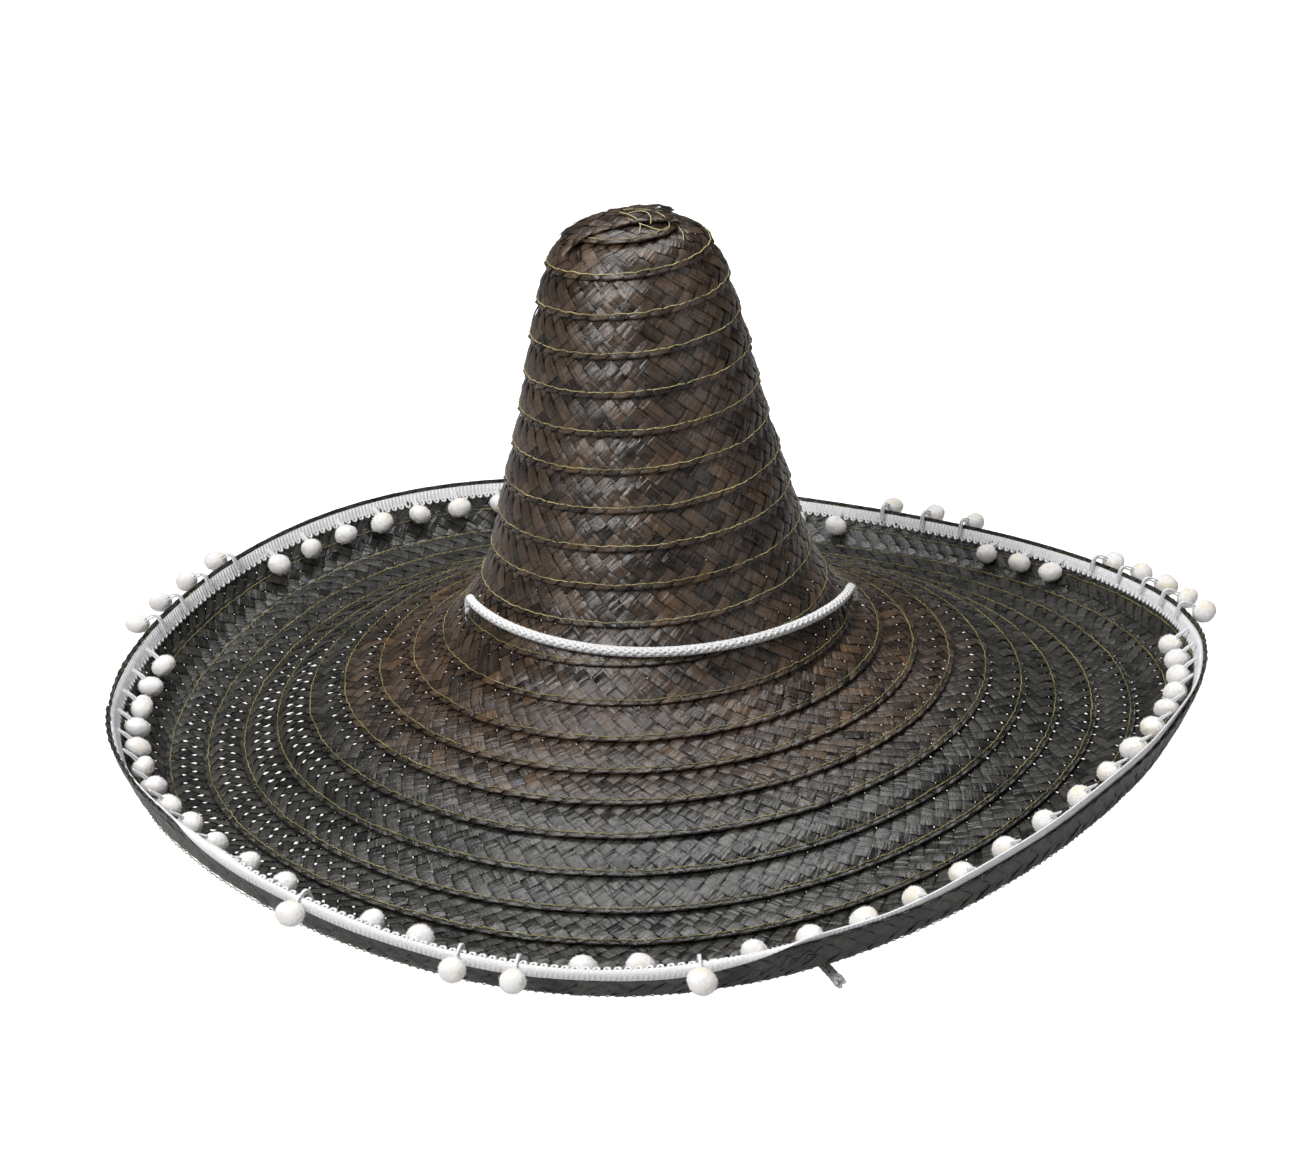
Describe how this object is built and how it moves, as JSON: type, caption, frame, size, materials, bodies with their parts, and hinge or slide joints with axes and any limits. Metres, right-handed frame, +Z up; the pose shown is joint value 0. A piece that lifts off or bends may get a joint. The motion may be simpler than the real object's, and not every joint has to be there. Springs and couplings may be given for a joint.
{
  "type": "conical hat",
  "caption": "Woven straw hat with a tall cone crown, a wide dished brim, white edge tape with hanging pom-poms and a chin cord.",
  "frame": {"origin": "on the surface the hat stands on, below the crown's axis", "axes": "+Z up the crown's axis, -Y the front with the chin cord, +X to the right seen from the front"},
  "size_m": [0.5865, 0.5849, 0.2891],
  "materials": {
    "straw": "dyed plaited straw, satin",
    "trim": "woven gimp, matt",
    "pom": "felted yarn, matt",
    "cord": "braided polyester, matt"
  },
  "bodies": {
    "hat": {"crown_shell": "straw", "brim_shell": "straw", "crown_tip": "straw", "trim_tape": "trim", "chin_cord_front": "cord", "cord_tail_right": "cord", "cord_tail_left": "cord"},
    "pom_poms_01": {"pom_poms_01": "pom"},
    "pom_poms_03": {"pom_poms_03": "pom"},
    "pom_poms_05": {"pom_poms_05": "pom"},
    "pom_poms_07": {"pom_poms_07": "pom"},
    "pom_poms_09": {"pom_poms_09": "pom"},
    "pom_poms_11": {"pom_poms_11": "pom"},
    "pom_poms_13": {"pom_poms_13": "pom"},
    "pom_poms_14": {"pom_poms_14": "pom"},
    "pom_poms_16": {"pom_poms_16": "pom"},
    "pom_poms_18": {"pom_poms_18": "pom"},
    "pom_poms_20": {"pom_poms_20": "pom"},
    "pom_poms_21": {"pom_poms_21": "pom"},
    "pom_poms_23": {"pom_poms_23": "pom"},
    "pom_poms_25": {"pom_poms_25": "pom"},
    "pom_poms_27": {"pom_poms_27": "pom"},
    "pom_poms_29": {"pom_poms_29": "pom"},
    "pom_poms_31": {"pom_poms_31": "pom"},
    "pom_poms_33": {"pom_poms_33": "pom"},
    "pom_poms_35": {"pom_poms_35": "pom"},
    "pom_poms_37": {"pom_poms_37": "pom"},
    "pom_poms_39": {"pom_poms_39": "pom"},
    "pom_poms_41": {"pom_poms_41": "pom"},
    "pom_poms_42": {"pom_poms_42": "pom"},
    "pom_poms_44": {"pom_poms_44": "pom"},
    "pom_poms_45": {"pom_poms_45": "pom"},
    "pom_poms_47": {"pom_poms_47": "pom"},
    "pom_poms_48": {"pom_poms_48": "pom"},
    "pom_poms_50": {"pom_poms_50": "pom"},
    "pom_poms_52": {"pom_poms_52": "pom"},
    "pom_poms_54": {"pom_poms_54": "pom"},
    "pom_poms_56": {"pom_poms_56": "pom"},
    "pom_poms_58": {"pom_poms_58": "pom"},
    "pom_poms_60": {"pom_poms_60": "pom"},
    "pom_poms_62": {"pom_poms_62": "pom"},
    "pom_poms_63": {"pom_poms_63": "pom"},
    "pom_poms_65": {"pom_poms_65": "pom"}
  },
  "joints": [
    {"name": "pom_poms_01_swing", "type": "hinge", "parent": "hat", "child": "pom_poms_01", "pos_m": [-0.2741, 0.03985, 0.0408], "axis": [-0.1455, -0.9893, 0.0056], "range_deg": [0, 110]},
    {"name": "pom_poms_03_swing", "type": "hinge", "parent": "hat", "child": "pom_poms_03", "pos_m": [-0.27677, -0.01274, 0.04209], "axis": [0.0447, -0.9982, 0.0412], "range_deg": [0, 110]},
    {"name": "pom_poms_05_swing", "type": "hinge", "parent": "hat", "child": "pom_poms_05", "pos_m": [-0.26941, -0.06491, 0.04458], "axis": [0.2333, -0.9712, 0.0485], "range_deg": [0, 110]},
    {"name": "pom_poms_07_swing", "type": "hinge", "parent": "hat", "child": "pom_poms_07", "pos_m": [-0.25226, -0.11472, 0.04643], "axis": [0.4142, -0.91, 0.0164], "range_deg": [0, 110]},
    {"name": "pom_poms_09_swing", "type": "hinge", "parent": "hat", "child": "pom_poms_09", "pos_m": [-0.22596, -0.16036, 0.04572], "axis": [0.5793, -0.8139, -0.0454], "range_deg": [0, 110]},
    {"name": "pom_poms_11_swing", "type": "hinge", "parent": "hat", "child": "pom_poms_11", "pos_m": [-0.19146, -0.20016, 0.04158], "axis": [0.7199, -0.6855, -0.1087], "range_deg": [0, 110]},
    {"name": "pom_poms_13_swing", "type": "hinge", "parent": "hat", "child": "pom_poms_13", "pos_m": [-0.16115, -0.22554, 0.03666], "axis": [-0.8074, 0.5736, 0.1379], "range_deg": [0, 140]},
    {"name": "pom_poms_14_swing", "type": "hinge", "parent": "hat", "child": "pom_poms_14", "pos_m": [-0.12722, -0.24581, 0.03104], "axis": [0.8806, -0.4529, -0.1392], "range_deg": [0, 110]},
    {"name": "pom_poms_16_swing", "type": "hinge", "parent": "hat", "child": "pom_poms_16", "pos_m": [-0.07837, -0.26533, 0.02466], "axis": [-0.9552, 0.2805, 0.0942], "range_deg": [0, 140]},
    {"name": "pom_poms_18_swing", "type": "hinge", "parent": "hat", "child": "pom_poms_18", "pos_m": [-0.02673, -0.27533, 0.02192], "axis": [0.9953, -0.0968, -0.0056], "range_deg": [0, 110]},
    {"name": "pom_poms_20_swing", "type": "hinge", "parent": "hat", "child": "pom_poms_20", "pos_m": [0.01274, -0.27668, 0.02306], "axis": [-0.9965, -0.0443, -0.0715], "range_deg": [0, 140]},
    {"name": "pom_poms_21_swing", "type": "hinge", "parent": "hat", "child": "pom_poms_21", "pos_m": [0.05194, -0.27183, 0.02745], "axis": [0.9732, 0.1834, 0.139], "range_deg": [0, 110]},
    {"name": "pom_poms_23_swing", "type": "hinge", "parent": "hat", "child": "pom_poms_23", "pos_m": [0.10251, -0.25722, 0.03647], "axis": [0.9129, 0.3606, 0.1914], "range_deg": [0, 110]},
    {"name": "pom_poms_25_swing", "type": "hinge", "parent": "hat", "child": "pom_poms_25", "pos_m": [0.14941, -0.2333, 0.04685], "axis": [0.8285, 0.5278, 0.1873], "range_deg": [0, 110]},
    {"name": "pom_poms_27_swing", "type": "hinge", "parent": "hat", "child": "pom_poms_27", "pos_m": [0.19093, -0.20088, 0.0555], "axis": [0.7196, 0.6821, 0.1302], "range_deg": [0, 110]},
    {"name": "pom_poms_29_swing", "type": "hinge", "parent": "hat", "child": "pom_poms_29", "pos_m": [0.22553, -0.16114, 0.06008], "axis": [0.581, 0.8129, 0.0398], "range_deg": [0, 110]},
    {"name": "pom_poms_31_swing", "type": "hinge", "parent": "hat", "child": "pom_poms_31", "pos_m": [0.25193, -0.11554, 0.0597], "axis": [0.4153, 0.9081, -0.0526], "range_deg": [0, 110]},
    {"name": "pom_poms_33_swing", "type": "hinge", "parent": "hat", "child": "pom_poms_33", "pos_m": [0.26916, -0.06575, 0.055], "axis": [0.2336, 0.9649, -0.1203], "range_deg": [0, 110]},
    {"name": "pom_poms_35_swing", "type": "hinge", "parent": "hat", "child": "pom_poms_35", "pos_m": [0.27661, -0.01362, 0.0476], "axis": [0.046, 0.9872, -0.1527], "range_deg": [0, 110]},
    {"name": "pom_poms_37_swing", "type": "hinge", "parent": "hat", "child": "pom_poms_37", "pos_m": [0.27405, 0.03896, 0.03932], "axis": [0.1417, -0.9778, 0.1542], "range_deg": [0, 140]},
    {"name": "pom_poms_39_swing", "type": "hinge", "parent": "hat", "child": "pom_poms_39", "pos_m": [0.2616, 0.09008, 0.03155], "axis": [0.3246, -0.9361, 0.1357], "range_deg": [0, 140]},
    {"name": "pom_poms_41_swing", "type": "hinge", "parent": "hat", "child": "pom_poms_41", "pos_m": [0.24633, 0.1265, 0.0265], "axis": [0.4551, -0.883, 0.1148], "range_deg": [0, 140]},
    {"name": "pom_poms_42_swing", "type": "hinge", "parent": "hat", "child": "pom_poms_42", "pos_m": [0.22554, 0.16007, 0.02247], "axis": [-0.5769, 0.8118, -0.0901], "range_deg": [0, 110]},
    {"name": "pom_poms_44_swing", "type": "hinge", "parent": "hat", "child": "pom_poms_44", "pos_m": [0.20068, 0.19074, 0.01939], "axis": [-0.6876, 0.7235, -0.0619], "range_deg": [0, 110]},
    {"name": "pom_poms_45_swing", "type": "hinge", "parent": "hat", "child": "pom_poms_45", "pos_m": [0.17131, 0.21712, 0.01765], "axis": [0.7844, -0.6196, 0.0291], "range_deg": [0, 140]},
    {"name": "pom_poms_47_swing", "type": "hinge", "parent": "hat", "child": "pom_poms_47", "pos_m": [0.13883, 0.23959, 0.01714], "axis": [0.8647, -0.5021, -0.0082], "range_deg": [0, 140]},
    {"name": "pom_poms_48_swing", "type": "hinge", "parent": "hat", "child": "pom_poms_48", "pos_m": [0.10322, 0.25666, 0.01835], "axis": [-0.9263, 0.3737, 0.0482], "range_deg": [0, 110]},
    {"name": "pom_poms_50_swing", "type": "hinge", "parent": "hat", "child": "pom_poms_50", "pos_m": [0.05279, 0.2716, 0.02223], "axis": [-0.9768, 0.1908, 0.0976], "range_deg": [0, 110]},
    {"name": "pom_poms_52_swing", "type": "hinge", "parent": "hat", "child": "pom_poms_52", "pos_m": [0.00044, 0.27673, 0.02834], "axis": [-0.9916, 0.0022, 0.1295], "range_deg": [0, 110]},
    {"name": "pom_poms_54_swing", "type": "hinge", "parent": "hat", "child": "pom_poms_54", "pos_m": [-0.05194, 0.27184, 0.03541], "axis": [-0.9737, -0.1857, 0.1318], "range_deg": [0, 110]},
    {"name": "pom_poms_56_swing", "type": "hinge", "parent": "hat", "child": "pom_poms_56", "pos_m": [-0.10246, 0.2571, 0.0417], "axis": [-0.9242, -0.3682, 0.1012], "range_deg": [0, 110]},
    {"name": "pom_poms_58_swing", "type": "hinge", "parent": "hat", "child": "pom_poms_58", "pos_m": [-0.14927, 0.23307, 0.04567], "axis": [-0.8412, -0.5386, 0.0471], "range_deg": [0, 110]},
    {"name": "pom_poms_60_swing", "type": "hinge", "parent": "hat", "child": "pom_poms_60", "pos_m": [-0.19068, 0.20062, 0.04663], "axis": [-0.725, -0.6887, -0.0094], "range_deg": [0, 110]},
    {"name": "pom_poms_62_swing", "type": "hinge", "parent": "hat", "child": "pom_poms_62", "pos_m": [-0.21756, 0.17165, 0.04569], "axis": [-0.6194, -0.7841, -0.0392], "range_deg": [0, 110]},
    {"name": "pom_poms_63_swing", "type": "hinge", "parent": "hat", "child": "pom_poms_63", "pos_m": [-0.23953, 0.1388, 0.04385], "axis": [0.5017, 0.8636, 0.0496], "range_deg": [0, 140]},
    {"name": "pom_poms_65_swing", "type": "hinge", "parent": "hat", "child": "pom_poms_65", "pos_m": [-0.26153, 0.09098, 0.04156], "axis": [0.3298, 0.9435, 0.0331], "range_deg": [0, 140]}
  ]
}
